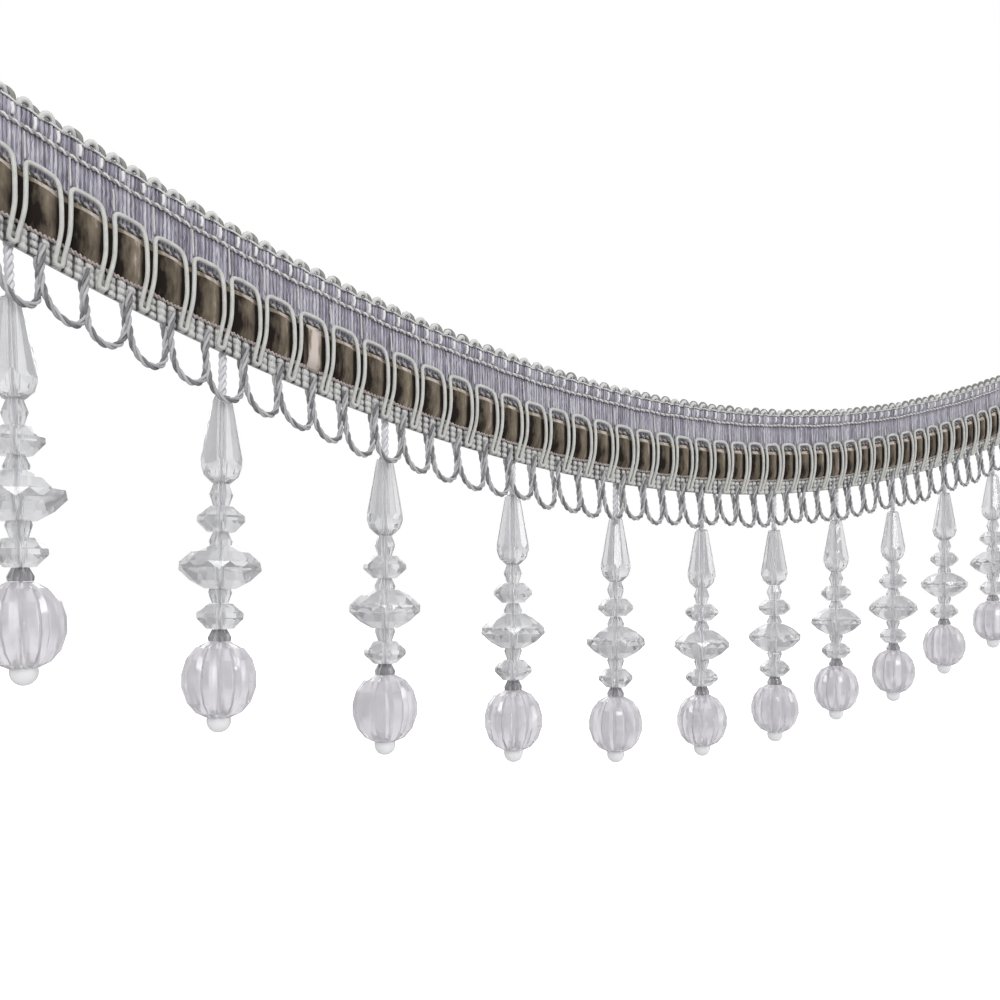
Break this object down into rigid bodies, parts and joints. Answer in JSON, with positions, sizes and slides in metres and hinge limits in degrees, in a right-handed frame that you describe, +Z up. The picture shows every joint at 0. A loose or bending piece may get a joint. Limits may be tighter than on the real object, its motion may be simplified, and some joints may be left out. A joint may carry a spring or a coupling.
{
  "type": "beaded fringe trim",
  "caption": "Length of curtain trim hung in a swag: woven picot heading, velvet ribbon under gimp arches, looped cord fringe and faceted clear bead drops.",
  "frame": {"origin": "middle of the heading's top edge, at the swag's lowest point, on the back face of the heading", "axes": "+X along the trim from its left end to its right end, the face looks towards -Y, +Z up"},
  "size_m": [0.4251, 0.028, 0.1542],
  "materials": {
    "heading": "lilac grey silky weft over a fine warp, with pale chain threads",
    "velvet": "taupe brown velvet pile ribbon",
    "gimp": "pale sage rayon gimp cord",
    "fringe_cord": "grey two-ply twisted rayon cord",
    "hanger": "whitish twisted bead thread",
    "beads_clear": "clear faceted acrylic with a faint lilac grey tint",
    "spacer_grey": "smoky grey faceted acrylic",
    "stopper_white": "milky white smooth ball"
  },
  "bodies": {
    "root": {"heading_tape": "heading", "velvet_ribbon_left": "velvet", "velvet_ribbon_right": "velvet", "gimp_cord": "gimp", "loop_fringe": "fringe_cord", "drop_01_hanger": "hanger", "drop_01_teardrop_set": "beads_clear", "drop_01_rondelle_set": "beads_clear", "drop_01_melon": "beads_clear", "drop_02_hanger": "hanger", "drop_02_teardrop_set": "beads_clear", "drop_02_rondelle_set": "beads_clear", "drop_02_melon": "beads_clear", "drop_03_hanger": "hanger", "drop_03_teardrop_set": "beads_clear", "drop_03_rondelle_set": "beads_clear", "drop_03_melon": "beads_clear", "drop_04_hanger": "hanger", "drop_04_teardrop_set": "beads_clear", "drop_04_rondelle_set": "beads_clear", "drop_04_melon": "beads_clear", "drop_05_hanger": "hanger", "drop_05_teardrop_set": "beads_clear", "drop_05_rondelle_set": "beads_clear", "drop_05_melon": "beads_clear", "drop_06_hanger": "hanger", "drop_06_teardrop_set": "beads_clear", "drop_06_rondelle_set": "beads_clear", "drop_06_melon": "beads_clear", "drop_07_hanger": "hanger", "drop_07_teardrop_set": "beads_clear", "drop_07_rondelle_set": "beads_clear", "drop_07_melon": "beads_clear", "drop_08_hanger": "hanger", "drop_08_teardrop_set": "beads_clear", "drop_08_rondelle_set": "beads_clear", "drop_08_melon": "beads_clear", "drop_09_hanger": "hanger", "drop_09_teardrop_set": "beads_clear", "drop_09_rondelle_set": "beads_clear", "drop_09_melon": "beads_clear", "drop_10_hanger": "hanger", "drop_10_teardrop_set": "beads_clear", "drop_10_rondelle_set": "beads_clear", "drop_10_melon": "beads_clear", "drop_11_hanger": "hanger", "drop_11_teardrop_set": "beads_clear", "drop_11_rondelle_set": "beads_clear", "drop_11_melon": "beads_clear"}
  },
  "joints": []
}
